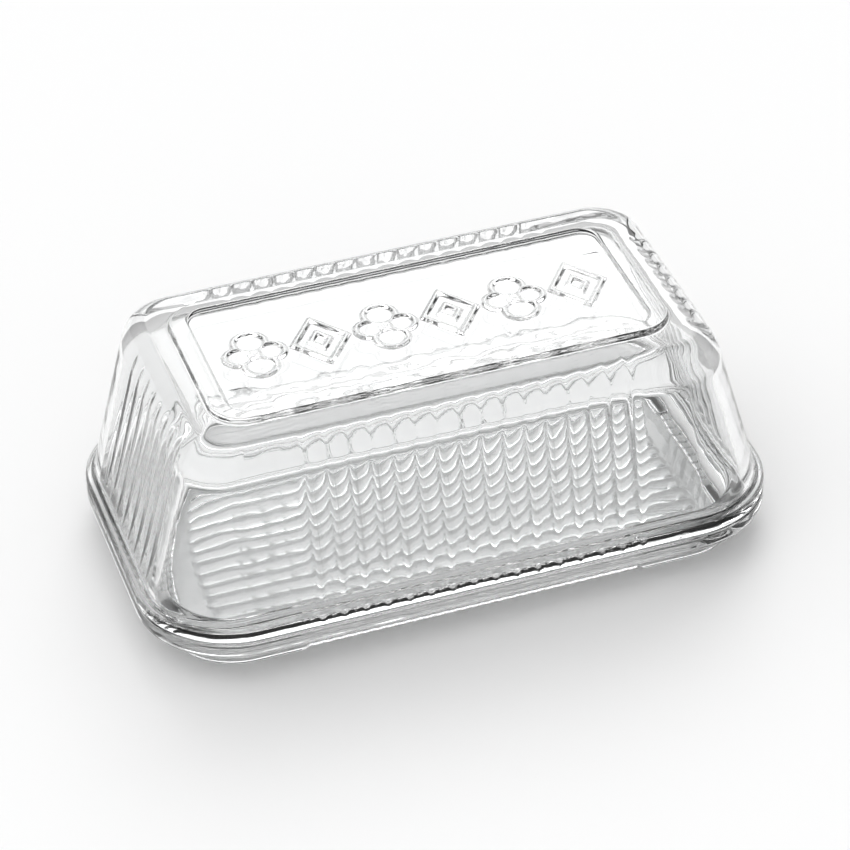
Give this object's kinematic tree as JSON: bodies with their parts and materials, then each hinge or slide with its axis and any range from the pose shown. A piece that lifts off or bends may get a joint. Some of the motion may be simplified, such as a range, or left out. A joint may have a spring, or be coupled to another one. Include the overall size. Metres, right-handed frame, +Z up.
{
  "type": "covered butter dish",
  "caption": "Clear pressed-glass butter dish: a shallow footed base with a ribbed well and a loaf-shaped ribbed lid that lifts straight off.",
  "frame": {"origin": "under the middle of the dish, on the surface that its four foot pads stand on", "axes": "+X along the dish, +Y across it, +Z up"},
  "size_m": [0.17, 0.0994, 0.0647],
  "materials": {
    "clear_glass": "fire-polished clear soda-lime glass"
  },
  "bodies": {
    "base": {"base_dish": "clear_glass"},
    "lid": {"lid": "clear_glass"}
  },
  "joints": [
    {"name": "lid_lift", "type": "slide", "parent": "base", "child": "lid", "axis": [0, 0, 1], "range_m": [0, 0.09]}
  ]
}
